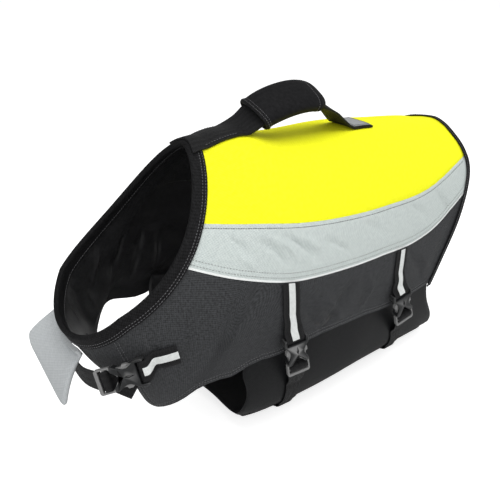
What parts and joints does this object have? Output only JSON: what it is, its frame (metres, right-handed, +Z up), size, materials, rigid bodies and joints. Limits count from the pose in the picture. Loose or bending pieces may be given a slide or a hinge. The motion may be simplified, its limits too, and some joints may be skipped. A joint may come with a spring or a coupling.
{
  "type": "dog life jacket",
  "caption": "Padded dog life jacket, worn round the chest: bright back, grey side bands, belly panel, lifting handle, chin flap and buckled straps.",
  "frame": {"origin": "where the wearer's back carries the jacket: on the inner face of the back panel, on the middle line, 185 mm behind the neck edge", "axes": "+X to the tail end, +Y to the wearer's right side, +Z up"},
  "size_m": [0.5425, 0.2417, 0.3681],
  "materials": {
    "yellow_cloth": "fluorescent yellow coated nylon over foam, matt",
    "grey_cloth": "silver grey reflective cloth, fine weave",
    "charcoal_cloth": "charcoal textured nylon over foam, black lining inside",
    "belly_cloth": "smooth black cloth, slightly darker than the sides",
    "binding_tape": "black woven edge tape, sewn",
    "black_webbing": "black ribbed nylon webbing",
    "reflective_tape": "silver reflective tape, sewn",
    "buckle_plastic": "dark grey acetal, semi-gloss",
    "grip_sleeve": "black cloth over foam with a bound edge",
    "flap_foam": "light grey laminated foam, fine net face"
  },
  "bodies": {
    "root": {"back_panel": "yellow_cloth", "band_left": "grey_cloth", "band_right": "grey_cloth", "side_left": "charcoal_cloth", "side_right": "charcoal_cloth", "throat_wrap": "charcoal_cloth", "belly_panel": "belly_cloth", "belly_pad": "belly_cloth", "neck_binding": "binding_tape", "tail_binding": "binding_tape", "front_strap_left": "black_webbing", "front_strap_right": "black_webbing", "rear_strap_left": "black_webbing", "rear_strap_right": "black_webbing", "front_strap_lower": "black_webbing", "rear_strap_lower": "black_webbing", "chest_strap_left": "black_webbing", "chest_strap_right": "black_webbing", "chest_strap_tail": "black_webbing", "handle_webbing": "black_webbing", "front_reflector_left": "reflective_tape", "front_reflector_right": "reflective_tape", "rear_reflector_left": "reflective_tape", "rear_reflector_right": "reflective_tape", "chest_reflector": "reflective_tape", "handle_patch": "reflective_tape", "front_buckle_left_socket": "buckle_plastic", "front_buckle_left_plug": "buckle_plastic", "front_buckle_right_socket": "buckle_plastic", "front_buckle_right_plug": "buckle_plastic", "rear_buckle_left_socket": "buckle_plastic", "rear_buckle_left_plug": "buckle_plastic", "rear_buckle_right_socket": "buckle_plastic", "rear_buckle_right_plug": "buckle_plastic", "chest_buckle_socket": "buckle_plastic", "chest_buckle_plug": "buckle_plastic", "handle_grip": "grip_sleeve", "chin_flap": "flap_foam"}
  },
  "joints": []
}
